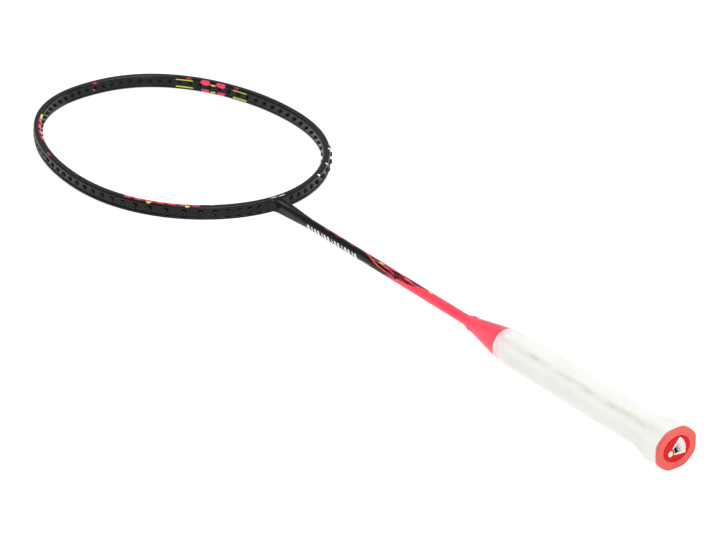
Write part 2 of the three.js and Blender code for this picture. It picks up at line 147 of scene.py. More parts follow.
def turned(name, profile, sides, closed=True):
    """Extrudes a ring along the racket's axis, as on a lathe.

    profile is a list of (half width, half height, y). A closed profile comes back to its first ring;
    an open one has its two ends filled."""
    take()
    wide, high, y = profile[0]
    bpy.ops.mesh.primitive_circle_add(
        vertices=sides, radius=MM, location=(0, y * MM, 0), rotation=(-math.pi / 2, 0, 0))
    piece = bpy.context.object
    piece.name = name
    bpy.ops.object.transform_apply(location=True, rotation=True, scale=True)
    bpy.ops.object.mode_set(mode="EDIT")
    bpy.ops.mesh.select_all(action="SELECT")
    bpy.ops.transform.resize(value=(wide, 1, high), center_override=(0, y * MM, 0))
    for (w0, h0, y0), (w1, h1, y1) in zip(profile, profile[1:]):
        bpy.ops.mesh.extrude_region_move(TRANSFORM_OT_translate={"value": (0, (y1 - y0) * MM, 0)})
        bpy.ops.transform.resize(value=(w1 / w0, 1, h1 / h0), center_override=(0, y1 * MM, 0))
    bpy.ops.mesh.select_all(action="DESELECT")
    bpy.ops.object.mode_set(mode="OBJECT")
    total = len(piece.data.vertices)
    first, last = range(sides), range(total - sides, total)
    for ring in ([{*first, *last}] if closed else [{*first}, {*last}]):
        for i, vertex in enumerate(piece.data.vertices):
            vertex.select = i in ring
        bpy.ops.object.mode_set(mode="EDIT")
        bpy.ops.mesh.select_mode(type="VERT")
        if closed:
            bpy.ops.mesh.bridge_edge_loops()
        else:
            bpy.ops.mesh.edge_face_add()
        bpy.ops.mesh.select_all(action="DESELECT")
        bpy.ops.object.mode_set(mode="OBJECT")
    bpy.ops.object.mode_set(mode="EDIT")
    bpy.ops.mesh.select_all(action="SELECT")
    bpy.ops.mesh.normals_make_consistent(inside=False)
    bpy.ops.object.mode_set(mode="OBJECT")
    return piece


# %% Putting pieces together and handing them over
def combine(piece, other, operation):
    """Joins another solid to this one or cuts it away, and throws the other one out."""
    take(piece)
    modifier = piece.modifiers.new("combine", "BOOLEAN")
    modifier.operation = operation
    modifier.object = other
    modifier.solver = "MANIFOLD"
    bpy.ops.object.modifier_apply(modifier=modifier.name)
    bpy.data.objects.remove(other)
    return piece


def join(pieces, name):
    """Makes several pieces one."""
    take(pieces[0])
    for piece in pieces[1:]:
        piece.select_set(True)
    if len(pieces) > 1:
        bpy.ops.object.join()
    pieces[0].name = name
    return pieces[0]


def hand_over(piece, material, slot, *nodes, angle=35):
    """Gives a finished piece its finish and its place in the racket, instead of the plain nodes."""
    take(piece)
    bpy.ops.object.shade_smooth_by_angle(angle=math.radians(angle))
    if material:
        piece.data.materials.clear()
        piece.data.materials.append(material)
    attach(piece, "root")
    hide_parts(*nodes)
    print(piece.name, "faces:", len(piece.data.polygons), "stands for", len(nodes), "node(s)")


# %% [markdown]
# ## Printed marks
# A racket's marks are printed under the lacquer. Rather than a picture, each point of a piece keeps
# its distance to the nearest mark of one colour, in millimetres and below 0 inside it. The finish
# then cuts that distance at 0, which gives a crisp edge however far apart the points are.

# %% Distances to marks
PRINT_EDGE = 0.12  # mm over which a printed edge fades
NO_MARK = 9.0  # a distance that is far from every mark


def bar_mark(along, across, start, end, low, high, lean=0.0):
    """Distance to a bar; lean moves it along for each millimetre across."""
    aside = across - (low + high) / 2
    shifted = along - (start + end) / 2 - lean * aside
    return np.maximum(np.abs(shifted) - (end - start) / 2, np.abs(aside) - (high - low) / 2)


def oval_mark(along, across, start, end, low, high):
    """Distance to an oval that fills the same box."""
    half_along, half_across = (end - start) / 2, (high - low) / 2
    reach = np.hypot((along - (start + end) / 2) / half_along, (across - (low + high) / 2) / half_across)
    return (reach - 1) * min(half_along, half_across)


def keep_marks(piece, layer, distances):
    """Stores the distance to the nearest of these marks on the piece's points."""
    nearest = np.minimum.reduce([np.full(len(piece.data.vertices), NO_MARK), *distances])
    attribute = piece.data.attributes.new(layer, "FLOAT", "POINT")
    attribute.data.foreach_set("value", nearest.astype(np.float32))
    print(piece.name, layer, "points inside:", int((nearest < 0).sum()))


def print_over(material, below, layer, colour):
    """Prints one colour of marks over a base colour, and gives the new colour's socket."""
    distance = add_node(material, "Attribute", attribute_name=layer)
    inside = add_node(material, "MapRange", {
        "Value": distance.outputs["Fac"], "From Min": -PRINT_EDGE, "From Max": PRINT_EDGE,
        "To Min": 1.0, "To Max": 0.0})
    mixed = add_node(
        material, "Mix", {0: inside.outputs["Result"], 6: below, 7: linear(colour)}, data_type="RGBA")
    return mixed.outputs[2]

# %% [markdown]
# ## Floor and light
# A pale studio floor with a low pale wall round it, and large soft lamps. The racket lies on its
# flared butt and on its crown, so the floor leans by less than a degree to touch both. The floor and
# the wall shine a little, which keeps the shadows light and gives the dark lacquer pale reflections.

# %% The floor
BUTT_REST = (7.0, -14.7)  # y and z of the flare's lowest line
CROWN_REST = (675.0, -4.95)
FLOOR_Y = 300  # the middle of the floor, under the shaft
FLOOR_SIZE = 14  # metres
WALL_RADIUS = 6.5  # metres, as the next two
WALL_HEIGHT = 2.4
WALL_MIDDLE = 1.0
floor_slope = (CROWN_REST[1] - BUTT_REST[1]) / (CROWN_REST[0] - BUTT_REST[0])
floor_middle = BUTT_REST[1] + floor_slope * (FLOOR_Y - BUTT_REST[0])
take()
bpy.ops.mesh.primitive_plane_add(
    size=FLOOR_SIZE, location=(0, FLOOR_Y * MM, floor_middle * MM), rotation=(math.atan(floor_slope), 0, 0))
floor = bpy.context.object
floor.name = "studio_floor"
floor_paint, shader = new_finish(
    "lit_white_backdrop", roughness=0.9, specular_ior_level=0.0, base_color=linear("8a8a8a"),
    emission_color=linear("ffffff"), emission_strength=0.9)
floor.data.materials.append(floor_paint)
take()
bpy.ops.mesh.primitive_cylinder_add(
    vertices=96, radius=WALL_RADIUS, depth=WALL_HEIGHT, end_fill_type="NOTHING",
    location=(0, FLOOR_Y * MM, WALL_MIDDLE))
backdrop = bpy.context.object
backdrop.name = "studio_backdrop"
backdrop.data.materials.append(floor_paint)
print("floor slope:", round(floor_slope, 4))

# %% Lamps and surroundings
RACKET_MIDDLE = Vector((0, 0.35, 0))


def soft_lamp(name, place, size, power):
    """A large square lamp that faces the racket's middle; place and size are in metres."""
    bpy.ops.object.light_add(type="AREA", location=place)
    lamp = bpy.context.object
    lamp.name = name
    lamp.data.size = size
    lamp.data.energy = power
    aim = Vector(place) - RACKET_MIDDLE
    lamp.rotation_euler = aim.to_track_quat("Z", "Y").to_euler()


take()
soft_lamp("overhead_lamp", (0.35, 0.55, 2.2), 1.6, 44)
soft_lamp("front_lamp", (-1.3, -1.6, 1.1), 0.9, 18)
soft_lamp("right_lamp", (1.8, 0.3, 0.7), 0.7, 6)
surroundings = bpy.data.worlds.new("studio")
bpy.context.scene.world = surroundings
surroundings.use_nodes = True
surroundings.node_tree.nodes["Background"].inputs["Color"].default_value = (1, 1, 1, 1)
surroundings.node_tree.nodes["Background"].inputs["Strength"].default_value = 0.2
bpy.context.scene.view_settings.view_transform = "Standard"

# %% [markdown]
# ## The head frame
# The real frame is a hollow carbon tube, bent to an oval in a mould and lacquered. Its section has
# two rounded rails with a channel between them on the outside, where the grommets lie, and a shallow
# step on the inside. A torus has just this topology, so one is added and its points are moved from
# their circle to the oval. The stem grows from it and is joined by a boolean, and the string holes
# are cut the same way.

# %% The oval
LENGTH = 675.0
HEAD_LENGTH = 252.2
HEAD_WIDTH = 194.4
HEAD_ROUNDNESS = 2.077
CROWN_ROUNDNESS = 0.129
HEAD_TAPER = -0.057
HALF_WALL = 2.8  # half the frame's width in the string plane
HALF_HEIGHT = 4.85
THROAT_Y = LENGTH - HEAD_LENGTH


def outline(t):
    """The outside of the head at parameter t: 0 is the +X side, pi/2 the crown."""
    power = 2 / (HEAD_ROUNDNESS + CROWN_ROUNDNESS * np.sin(t))
    raised = lambda v: np.sign(v) * np.abs(v) ** power
    x = HEAD_WIDTH / 2 * raised(np.cos(t)) * (1 + HEAD_TAPER * np.sin(t))
    return np.stack([x, LENGTH - HEAD_LENGTH / 2 + HEAD_LENGTH / 2 * raised(np.sin(t))], -1)


def outward(t):
    """The outward direction there."""
    along = outline(t + 0.01) - outline(t - 0.01)
    along /= np.linalg.norm(along, axis=-1, keepdims=True)
    return np.stack([along[..., 1], -along[..., 0]], -1)


oval_t = np.linspace(-np.pi / 2, 1.5 * np.pi, 7201)
oval_centre = outline(oval_t) - outward(oval_t) * HALF_WALL
oval_arc = np.concatenate([[0], np.cumsum(np.linalg.norm(np.diff(oval_centre, axis=0), axis=1))])
around = oval_arc[-1]
print("the frame's centreline is", round(around, 1), "mm long")

# %% The section
def rounded(corners, segments=3):
    """A closed outline with each corner (u, z, radius) turned into an arc."""
    points = []
    for i, (u, z, radius) in enumerate(corners):
        here = np.array((u, z))
        arms = [np.array(corners[k % len(corners)][:2]) - here for k in (i - 1, i + 1)]
        arms = [arm / np.linalg.norm(arm) for arm in arms]
        half_angle = math.acos(float(arms[0] @ arms[1])) / 2
        bisector = (arms[0] + arms[1]) / np.linalg.norm(arms[0] + arms[1])
        centre = here + bisector * radius / math.sin(half_angle)
        ends = [here + arm * radius / math.tan(half_angle) - centre for arm in arms]
        for share in np.linspace(0, 1, segments + 1):
            spoke = ends[0] * (1 - share) + ends[1] * share
            points.append(centre + spoke * radius / np.linalg.norm(spoke))
    return points


def spaced(points, longest):
    """The same outline with points added so that none are further apart than this."""
    result = []
    for here, after in zip(points, points[1:] + points[:1]):
        pieces = max(1, math.ceil(np.linalg.norm(after - here) / longest))
        result += [here + (after - here) * k / pieces for k in range(pieces)]
    return np.array(result)


CHANNEL_DEPTH = 0.9
STEP_DEPTH = 0.35  # of the shallow step on the inside
SECTION_SPACING = 0.65
half_section = [
    (HALF_WALL - CHANNEL_DEPTH, 2.45, 0.25), (HALF_WALL, 3.0, 0.3), (HALF_WALL, HALF_HEIGHT, 0.95),
    (-HALF_WALL, HALF_HEIGHT, 1.3), (-HALF_WALL, 3.15, 0.3), (STEP_DEPTH - HALF_WALL, 2.75, 0.25)]
mirrored_half = [(u, -z, radius) for u, z, radius in reversed(half_section)]
section = spaced(rounded(half_section + mirrored_half), SECTION_SPACING)
print("points in the section:", len(section))

# %% The ring
TORUS_STEPS = 256  # the most that the operator makes; one subdivision then doubles them
TUBE_RADIUS_AT_FIRST = 4
take()
bpy.ops.mesh.primitive_torus_add(
    major_segments=TORUS_STEPS, minor_segments=len(section) // 2,
    major_radius=HEAD_WIDTH / 2 * MM, minor_radius=TUBE_RADIUS_AT_FIRST * MM)
head = bpy.context.object
head.name = "lacquered_frame"
bpy.ops.object.mode_set(mode="EDIT")
bpy.ops.mesh.select_all(action="SELECT")
bpy.ops.mesh.subdivide(number_cuts=1)
bpy.ops.object.mode_set(mode="OBJECT")
points = corners_mm(head)
ring_turn = np.arctan2(points[:, 1], points[:, 0])
tube_turn = np.arctan2(points[:, 2], np.hypot(points[:, 0], points[:, 1]) - HEAD_WIDTH / 2)
ring_share = np.round(ring_turn / (2 * math.pi) * TORUS_STEPS * 2) / (TORUS_STEPS * 2) % 1
tube_step = np.round(tube_turn / (2 * math.pi) * len(section)).astype(int) % len(section)
t = np.interp(ring_share * around, oval_arc, oval_t)
points[:, :2] = outline(t) + outward(t) * (section[tube_step, :1] - HALF_WALL)
points[:, 2] = section[tube_step, 1]
move_corners(head, points)
print("ring:", len(head.data.polygons), "faces")

# %% [markdown]
# The stem is moulded in one with the frame. It is round where the shaft enters and nearly square at
# the head, with a shallow flute along each side that carries on the line of the frame's channel. A
# ring is extruded up its length, then its points are squared off.

# %% The stem
SHAFT_RADIUS = 3.55
STEM_LENGTH = 38.3
STEM_END_Y = THROAT_Y - STEM_LENGTH
STEM_HALF_WIDTH = 4.6
STEM_HALF_HEIGHT = 4.5
STEM_LIP = 0.25  # how much slimmer the stem's very end is
STEM_SQUARENESS = 2.2  # 0 keeps the stem round at the head
STEM_FILLET = 5.5
FILLET_REACH = 6.5  # how far the fillet spreads along the frame
FILLET_HEIGHT = 7.2  # from its start on the stem to where it dies into the channel
FILLET_STEPS = (0, 0.15, 0.3, 0.45, 0.6, 0.7, 0.8, 0.87, 0.93, 0.985)
STEM_SIDES = 64
FLUTE_DEPTH = 0.55
FLUTE_HALF_HEIGHT = 2.6
VALLEY_DEPTH = 0.9  # of the shallow valley along the stem's top and underside
VALLEY_HALF_WIDTH = 3.3


def stem_row(y):
    """Half width, half height and y of the stem: a slow taper, then a fillet out to the frame."""
    share = (y - STEM_END_Y) / STEM_LENGTH
    wide = SHAFT_RADIUS + (STEM_HALF_WIDTH - SHAFT_RADIUS) * share
    into = max(0, y - THROAT_Y + STEM_FILLET) / FILLET_HEIGHT
    wide += FILLET_REACH * (1 - math.sqrt(1 - min(into, FILLET_STEPS[-1]) ** 2))
    return wide, SHAFT_RADIUS + (STEM_HALF_HEIGHT - SHAFT_RADIUS) * min(1, share), y


def hollow_share(across, half_width):
    """How deep a groove is there: 1 along its middle, 0 at its edges."""
    return np.cos(np.pi / 2 * np.clip(across / half_width, -1, 1)) ** 2


LIP_LENGTH = 0.3
RING_SPACING = 1.6
stem_heights = [STEM_END_Y + LIP_LENGTH, *np.arange(STEM_END_Y + 1, THROAT_Y - STEM_FILLET, RING_SPACING)]
stem_heights += [THROAT_Y - STEM_FILLET + FILLET_HEIGHT * step for step in FILLET_STEPS]
lip_radius = SHAFT_RADIUS - STEM_LIP
stem_rows = [(lip_radius, lip_radius, STEM_END_Y), *map(stem_row, stem_heights), stem_row(THROAT_Y + 2.4)]
stem = turned("stem", stem_rows, STEM_SIDES, closed=False)
points = corners_mm(stem)
share = np.clip((points[:, 1] - STEM_END_Y) / STEM_LENGTH, 0, 1)
power = 2 / (2 + STEM_SQUARENESS * share)
rows = np.array([stem_row(y)[:2] for y in points[:, 1]])
angle = np.arctan2(points[:, 2] / rows[:, 1], points[:, 0] / rows[:, 0])
at_lip = points[:, 1] <= STEM_END_Y + 1e-3
wide, tall = np.where(at_lip, lip_radius, rows.T)
side = np.sign(np.cos(angle)) * np.abs(np.cos(angle)) ** power
flute = FLUTE_DEPTH * share ** 1.5 * hollow_share(points[:, 2], FLUTE_HALF_HEIGHT)
points[:, 0] = side * (wide - flute * np.abs(side))
top = np.sign(np.sin(angle)) * np.abs(np.sin(angle)) ** power
valley = VALLEY_DEPTH * share ** 1.5 * hollow_share(points[:, 0], VALLEY_HALF_WIDTH)
points[:, 2] = top * (tall - valley * np.abs(top))
move_corners(stem, points)
combine(head, stem, "UNION")
print("frame with its stem:", len(head.data.polygons), "faces")

# %% [markdown]
# The string holes are closer together at the throat and the crown than at the sides. They are cut in
# one go by a set of bars that stand through the wall.

# %% The places of the string holes
MAIN_PITCH = 7.2
CROSS_PITCH = 9.2
CORNER_EXTRA = 4.8  # added to the pitch at the head's lower corners
CORNER = math.radians(-48)
CORNER_REACH = math.radians(16)
FIRST_HOLE = 13.4


def holes_on_one_side():
    """The parameters of the holes on the +X side, from the throat to the crown."""
    t = np.linspace(-np.pi / 2, np.pi / 2, 2001)
    centre = outline(t) - outward(t) * HALF_WALL
    step = np.linalg.norm(np.diff(centre, axis=0), axis=1)
    use = (np.cumsum(step) >= FIRST_HOLE) & (centre[1:, 0] >= MAIN_PITCH / 2)
    pitch = MAIN_PITCH + (CROSS_PITCH - MAIN_PITCH) * np.cos(t[1:]) ** 2
    pitch += CORNER_EXTRA * np.exp(-((t[1:] - CORNER) / CORNER_REACH) ** 2)
    pitches = np.cumsum((step / pitch)[use])
    wanted = np.linspace(0, pitches[-1], round(pitches[-1]) + 1)
    return [t[1:][use][np.searchsorted(pitches, at - 1e-9)] for at in wanted]


right_holes = holes_on_one_side()
left_holes = [math.pi - t for t in right_holes]
print("string holes:", len(right_holes) * 2)

# %% Cutting the holes
HOLE_RADIUS = 1.55
DRILL_REACH = 5


def to_rim(t):
    """Takes something made round the origin to the rim at t, with its +Y pointing outwards."""
    x, y = outline(t) - outward(t) * HALF_WALL
    turn = math.atan2(outward(t)[1], outward(t)[0]) - math.pi / 2
    return Matrix.Translation((x * MM, y * MM, 0)) @ Matrix.Rotation(turn, 4, "Z")


def copy_to_rim(master, t):
    """A copy of a small piece with its own mesh, standing in the rim at t."""
    piece = master.copy()
    piece.data = master.data.copy()
    piece.data.transform(to_rim(t))
    bpy.context.collection.objects.link(piece)
    return piece


drill_ends = [(HOLE_RADIUS, HOLE_RADIUS, y) for y in (-DRILL_REACH, DRILL_REACH)]
drill = turned("drill", drill_ends, 20, closed=False)
drills = join([copy_to_rim(drill, t) for t in right_holes + left_holes], "drills")
bpy.data.objects.remove(drill)
combine(head, drills, "DIFFERENCE")
print("drilled frame:", len(head.data.polygons), "faces")

# %% [markdown]
# ## Marks on the frame
# Lime bars, coral ovals and small spots sit in groups on the inside and the top of the frame. Their
# places are given along the frame from the throat, positive on the +X side. They are plain bars and
# ovals of this lesson's own drawing, with no lettering.

# %% Where each point lies on the rim
lookup = kdtree.KDTree(len(oval_centre))
for i, (x, y) in enumerate(oval_centre):
    lookup.insert((x, y, 0), i)
lookup.balance()
points = corners_mm(head)
nearest = np.array([lookup.find((x, y, 0))[1] for x, y, _ in points])
out = outward(oval_t)[nearest]
away = points[:, :2] - oval_centre[nearest]
rim_u = (away * out).sum(1)
rim_arc = oval_arc[nearest] + away[:, 1] * out[:, 0] - away[:, 0] * out[:, 1]
rim_arc = np.where(rim_arc > around / 2, rim_arc - around, rim_arc)
rim_z = points[:, 2]
print("u runs from", rim_u.min().round(2), "to", rim_u.max().round(2))

# %% The marks
INSIDE, TOP = "inside", "top"
INSIDE_LIMIT = -1.4  # u under which a mark on the inside shows
TOP_LIMIT = 3.7  # z over which a mark on the top shows
RIM_LIMIT = 3.0  # u past which a point belongs to the stem


def rim_mark(shape, face, start, end, low, high, **more):
    """A mark on one face of the frame; across it is z on the inside, and u on the top."""
    across = rim_u if face == TOP else rim_z
    off_face = TOP_LIMIT - rim_z if face == TOP else rim_u - INSIDE_LIMIT
    off_rim = np.abs(rim_u) - RIM_LIMIT
    return np.maximum.reduce([shape(rim_arc, across, start, end, low, high, **more), off_face, off_rim])


lime_marks = [
    rim_mark(bar_mark, INSIDE, 263.2, 277.8, 2.6, 3.5),
    rim_mark(bar_mark, INSIDE, 263.2, 277.8, -3.1, -2.2),
    rim_mark(bar_mark, INSIDE, 213.6, 228, 2.3, 3.2),
    rim_mark(bar_mark, INSIDE, 213.6, 228, -3.4, -2.5),
    rim_mark(bar_mark, INSIDE, 243.4, 248.4, 1.7, 2.9),
    rim_mark(bar_mark, INSIDE, 243.4, 248.4, -3.8, -2.7),
    rim_mark(bar_mark, TOP, -277, -263.5, -2.6, -1.2),
    rim_mark(oval_mark, TOP, -94, -90.4, 0.2, 2.6),
    rim_mark(oval_mark, TOP, -66, -62.4, 0.2, 2.6),
]
coral_marks = [
    rim_mark(oval_mark, INSIDE, 248.4, 256.9, 1.2, 5.4),
    rim_mark(oval_mark, INSIDE, 234.6, 243.1, 1.5, 5.7),
    rim_mark(bar_mark, INSIDE, 249, 256.3, -4.6, -2.1, lean=0.5),
    rim_mark(bar_mark, INSIDE, 235.2, 242.5, -4.6, -2.1, lean=-0.5),
    rim_mark(bar_mark, INSIDE, 342, 347, -1.5, 0.0, lean=1.0),
    *[rim_mark(bar_mark, TOP, at, at + 5.6, -1.9, 0.7, lean=0.7) for at in np.arange(-113, -60, 8.6)],
    *[rim_mark(bar_mark, TOP, at, at + 7.5, -3.2, -0.9, lean=-0.6) for at in (-270, -259, -248, -237)],
]
wine_marks = [
    *[rim_mark(bar_mark, TOP, at, at + 2.4, -1.9, 0.5, lean=0.7) for at in np.arange(-107, -60, 8.6)],
    rim_mark(bar_mark, TOP, 264.6, 269.2, -2.8, -0.8, lean=0.5),
    rim_mark(bar_mark, TOP, 222.2, 226.8, -2.6, -0.6, lean=0.5),
    rim_mark(bar_mark, TOP, 341, 347.5, -2.8, -0.8, lean=0.5),
    rim_mark(bar_mark, TOP, -208, -202, 0.2, 2.2, lean=0.5),
]
white_marks = [
    rim_mark(bar_mark, TOP, -49, -45, -2.6, -1.2),
    rim_mark(bar_mark, TOP, -4.4, 0.4, -0.2, 0.6, lean=1.5),
    rim_mark(bar_mark, TOP, 1.6, 7.6, 0.6, 1.4, lean=1.5),
    *[rim_mark(oval_mark, TOP, at - 1.1, at + 1.1, 0.9, 3.1) for at in (91.2, 66, 46.7)],
]
for layer, marks in (("lime_print", lime_marks), ("coral_print", coral_marks), ("wine_print", wine_marks),
                     ("white_print", white_marks)):
    keep_marks(head, layer, marks)

# %% [markdown]
# ## Charcoal lacquer
# A carbon frame is painted with a dark lacquer that holds fine mica, then sealed with clear coat. Up
# close the mica gives a faint grain, and the clear coat gives long bright edges along the rails. The
# grain is drawn at 0.5 mm, coarser than the real flakes, so that it shows at all. Slow clouds make
# the coat a little uneven, as sprayed coats are.

# %% The frame's finish
MICA_GRAIN = 0.5
COAT_CLOUD = 25
LIME = "d2dd55"
CHALK = "f4f4f0"


def charcoal_base(material, shader):
    """The dark lacquer's colour and the slight unevenness of its clear coat."""
    place = add_node(material, "TexCoord")
    mica = add_node(material, "TexNoise", {
        "Vector": place.outputs["Object"], "Scale": 1 / (MICA_GRAIN * MM), "Detail": 2.0})
    clouds = add_node(material, "TexNoise", {
        "Vector": place.outputs["Object"], "Scale": 1 / (COAT_CLOUD * MM), "Detail": 3.0})
    tint = add_node(material, "ValToRGB", {"Fac": mica.outputs["Fac"]})
    tint.color_ramp.elements[0].position = 0.35
    tint.color_ramp.elements[0].color = linear("0d0e0d")
    tint.color_ramp.elements[1].position = 0.75
    tint.color_ramp.elements[1].color = linear("191a18")
    gloss = add_node(material, "MapRange", {"Value": clouds.outputs["Fac"], "To Min": 0.26, "To Max": 0.4})
    swell = add_node(material, "Bump", {
        "Height": clouds.outputs["Fac"], "Strength": 0.12, "Distance": 0.2 * MM})
    feed(material, shader, roughness=gloss.outputs["Result"], coat_normal=swell.outputs["Normal"])
    return tint.outputs["Color"]


frame_lacquer, shader = new_finish(
    "charcoal_mica_lacquer", specular_ior_level=0.1, coat_weight=0.28, coat_roughness=0.05)
colour = charcoal_base(frame_lacquer, shader)
for layer, shade in (("lime_print", LIME), ("coral_print", "f0466a"), ("wine_print", "a52a44"),
                     ("white_print", CHALK)):
    colour = print_over(frame_lacquer, colour, layer, shade)
feed(frame_lacquer, shader, base_color=colour)
hand_over(head, frame_lacquer, "frame_lacquer", "head_frame")

# %% [markdown]
# ## The grommets
# A grommet is a moulded nylon tube that keeps the string off the carbon. It goes through both walls
# and its flange lies in the channel. One is turned from a ring, and copied to every hole. Beside the
# throat they come in pairs, above that they stand taller, and at the crown they share a long strip.

# %% One grommet
BORE_RADIUS = 0.75
TUBE_RADIUS = 1.25
FLANGE_RADIUS = 1.9
FLANGE_STEP = 0.4  # height of the flange's straight side
SEAT = 2.2  # where the flange starts, from the middle of the wall
TUBE_END = -4.0
SOFT_EDGE = 0.12
LOW_HEAD = 0.35  # how far a head stands out of the frame
TALL_HEAD = 1.4
GROMMET_SIDES = 18


def grommet_master(name, head_end):
    """A grommet along Y round the origin, with softened lips."""
    profile = [
        (BORE_RADIUS, TUBE_END + SOFT_EDGE), (BORE_RADIUS + SOFT_EDGE, TUBE_END),
        (TUBE_RADIUS - SOFT_EDGE, TUBE_END), (TUBE_RADIUS, TUBE_END + SOFT_EDGE), (TUBE_RADIUS, SEAT),
        (FLANGE_RADIUS, SEAT), (FLANGE_RADIUS, SEAT + FLANGE_STEP), (FLANGE_RADIUS - 0.3, head_end - 0.2),
        (FLANGE_RADIUS - 0.5, head_end), (BORE_RADIUS + 2 * SOFT_EDGE, head_end),
        (BORE_RADIUS, head_end - 2 * SOFT_EDGE)]
    return turned(name, [(r, r, y) for r, y in profile], GROMMET_SIDES)


low_master = grommet_master("low_grommet", HALF_WALL + LOW_HEAD)
tall_master = grommet_master("tall_grommet", HALF_WALL + TALL_HEAD)
print("faces in one grommet:", len(low_master.data.polygons))

# %% The webs of the crown strips
WEB_HALF_HEIGHT = 1.5
WEB_CLEARANCE = 0.3  # how far a web stops short of a bore
WEB_SOFT_EDGE = 0.15


def web_between(t, after):
    """The flat web of a strip between two holes, with softened edges."""
    level = (SEAT + HALF_WALL) / 2
    ends = [outline(s) - outward(s) * (HALF_WALL - level) for s in (t, after)]
    run = ends[1] - ends[0]
    length = np.linalg.norm(run) - 2 * (BORE_RADIUS + WEB_CLEARANCE)
    x, y = (ends[0] + ends[1]) / 2 * MM
    take()
    bpy.ops.mesh.primitive_cube_add(
        size=MM, location=(x, y, 0), rotation=(0, 0, math.atan2(run[1], run[0])),
        scale=(length, HALF_WALL - SEAT, 2 * WEB_HALF_HEIGHT))
    web = bpy.context.object
    bpy.ops.object.transform_apply(location=True, rotation=True, scale=True)
    bpy.ops.object.mode_set(mode="EDIT")
    bpy.ops.mesh.select_all(action="SELECT")
    bpy.ops.mesh.bevel(offset=WEB_SOFT_EDGE * MM, segments=2)
    bpy.ops.object.mode_set(mode="OBJECT")
    return web


# %% [markdown]
# ## Black nylon
# Grommet nylon is dyed black and moulded, with a fine satin skin from the mould. It stays darker and
# less shiny than the lacquer beside it, which makes the row of heads readable.

# %% The grommets' finish
nylon, shader = new_finish("moulded_black_nylon", roughness=0.48, ior=1.53, specular_ior_level=0.4)
place = add_node(nylon, "TexCoord")
skin = add_node(nylon, "TexNoise", {
    "Vector": place.outputs["Object"], "Scale": 1 / (0.4 * MM), "Detail": 2.0})
dye = add_node(nylon, "ValToRGB", {"Fac": skin.outputs["Fac"]})
dye.color_ramp.elements[0].color = linear("0b0b0c")
dye.color_ramp.elements[1].color = linear("1b1b1c")
grain = add_node(nylon, "Bump", {"Height": skin.outputs["Fac"], "Strength": 0.2, "Distance": 0.03 * MM})
feed(nylon, shader, base_color=dye.outputs["Color"], normal=grain.outputs["Normal"])
print("finish:", nylon.name)

# %% Every grommet in its hole
def place_grommets(node, holes, master):
    """The grommets of one CAD node, joined to one piece."""
    piece = join([copy_to_rim(master, t) for t in holes], f"nylon_{node}")
    if len(holes) > 2:
        webs = join([web_between(t, after) for t, after in zip(holes, holes[1:])], "webs")
        combine(piece, webs, "UNION")
    hand_over(piece, nylon, "grommet_nylon", node)


GROUPS = (("twin_grommet", 2, 2, low_master), ("tall_grommet", 6, 1, tall_master),
          ("side_grommet", 10, 1, low_master), ("crown_strip", 3, 6, low_master))
for hand, holes in (("right", right_holes), ("left", left_holes)):
    used = 0
    for name, count, size, master in GROUPS:
        for number in range(1, count + 1):
            place_grommets(f"{name}_{number:02d}_{hand}", holes[used:used + size], master)
            used += size
for master in (low_master, tall_master):
    bpy.data.objects.remove(master)
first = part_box("side_grommet_01_right")
print("the first side grommet should be near", [round(v / MM, 1) for v in (first[0] + first[1]) / 2])

# %% [markdown]
# ## The shaft
# The shaft is a slim carbon tube that bends in play. It is turned here with its slimmer end, which
# hides in the stem, and with rings a millimetre apart where it shows, so that the printed pattern
# keeps its edges.

# %% The shaft's tube
SHAFT_START_Y = 75.0
SHAFT_BORE = 2.4
SHAFT_SIDES = 44
SPIGOT_RADIUS = 2.7  # the slimmer end, inside the stem
SPIGOT_BORE = 1.9
SPIGOT_START_Y = 380.6
SPIGOT_END_Y = 409.7
GAP = 0.3  # between pieces that touch on the real racket
SHAFT_TOP_Y = STEM_END_Y - GAP
SHOULDER_EDGE = 0.2
CONE_TIP_Y = 206.0
shaft_heights = [SHAFT_START_Y, *np.arange(CONE_TIP_Y - 4, SHAFT_TOP_Y - 1, 1.0), SHAFT_TOP_Y - SHOULDER_EDGE]
shaft_profile = [
    (SHAFT_BORE, SHAFT_START_Y), *[(SHAFT_RADIUS, y) for y in shaft_heights],
    (SHAFT_RADIUS - SHOULDER_EDGE, SHAFT_TOP_Y), (SPIGOT_RADIUS, SHAFT_TOP_Y), (SPIGOT_RADIUS, SPIGOT_END_Y),
    (SPIGOT_BORE, SPIGOT_END_Y), (SPIGOT_BORE, SPIGOT_START_Y)]
shaft = turned("lacquered_shaft", [(r, r, y) for r, y in shaft_profile], SHAFT_SIDES)
print("shaft:", len(shaft.data.polygons), "faces")

# %% [markdown]
# The lacquer goes from charcoal at the throat to coral at the handle, through long slanted tongues,
# thin coral and wine lines and a lime spark. A row of small white dashes stands along the upper
# shaft. Around the shaft, places are given in millimetres from its top line, positive towards -X.

# %% The shaft's marks
points = corners_mm(shaft)
shaft_y = points[:, 1]
shaft_turn = np.arctan2(-points[:, 0], points[:, 2]) * SHAFT_RADIUS
BACK_LINE = -5  # the turn where the count starts again, on the side with no marks
shaft_turn = np.where(shaft_turn < BACK_LINE, shaft_turn + 2 * math.pi * SHAFT_RADIUS, shaft_turn)


def tongue(tip, root, low, high, lean):
    """A slim pointed shape along the shaft, from its tip to its root."""
    share = np.clip((shaft_y - tip) / (root - tip), 0, 1)
    half = (high - low) / 2 * share
    off = np.abs(shaft_turn - (low + high) / 2 - lean * (shaft_y - tip)) - half
    return np.maximum(off, np.maximum(min(tip, root) - shaft_y, shaft_y - max(tip, root)))


